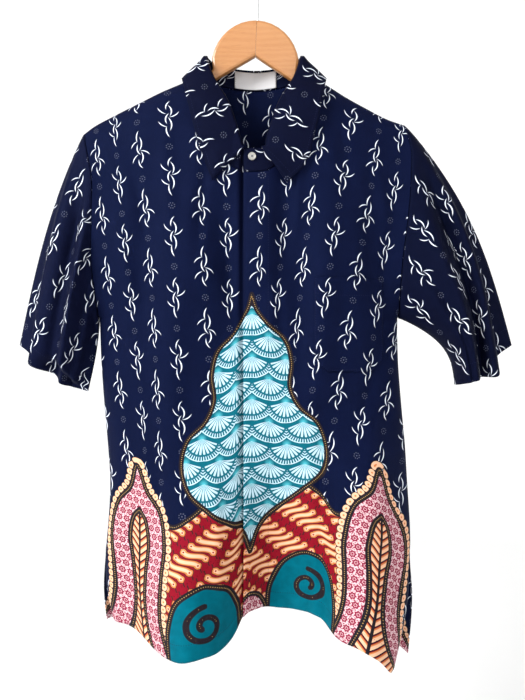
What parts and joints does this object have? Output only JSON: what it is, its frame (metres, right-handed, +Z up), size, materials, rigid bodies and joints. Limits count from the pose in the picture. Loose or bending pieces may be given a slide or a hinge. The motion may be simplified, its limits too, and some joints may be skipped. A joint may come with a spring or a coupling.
{
  "type": "short-sleeved batik shirt on a wooden hanger",
  "caption": "Buttoned short-sleeved cotton shirt with a turned-down collar, fly front and chest pocket, hanging open and empty on a wooden hanger with a round wire hook.",
  "frame": {"origin": "inner top of the hanger's hook, where a rail or peg carries it", "axes": "+Z up, the shirt's front faces -Y, +X is the wearer's left"},
  "size_m": [0.6728, 0.1713, 0.9245],
  "materials": {
    "batik_cotton": "plain-woven cotton, deep navy ground with a batik print, slight sheen",
    "label_white": "bare white woven label",
    "button_shell": "pale pearly button",
    "hanger_wood": "clear-lacquered pale wood",
    "hook_steel": "bright round steel wire"
  },
  "bodies": {
    "root": {"front_right": "batik_cotton", "front_left": "batik_cotton", "back": "batik_cotton", "sleeve_right": "batik_cotton", "sleeve_left": "batik_cotton", "collar_stand": "batik_cotton", "collar_fall": "batik_cotton", "chest_pocket": "batik_cotton", "neck_label": "label_white", "button_1": "button_shell", "button_2": "button_shell", "button_3": "button_shell", "button_4": "button_shell", "button_5": "button_shell", "button_6": "button_shell", "button_7": "button_shell", "hanger_arm_right": "hanger_wood", "hanger_arm_left": "hanger_wood", "hanger_hook": "hook_steel"}
  },
  "joints": []
}
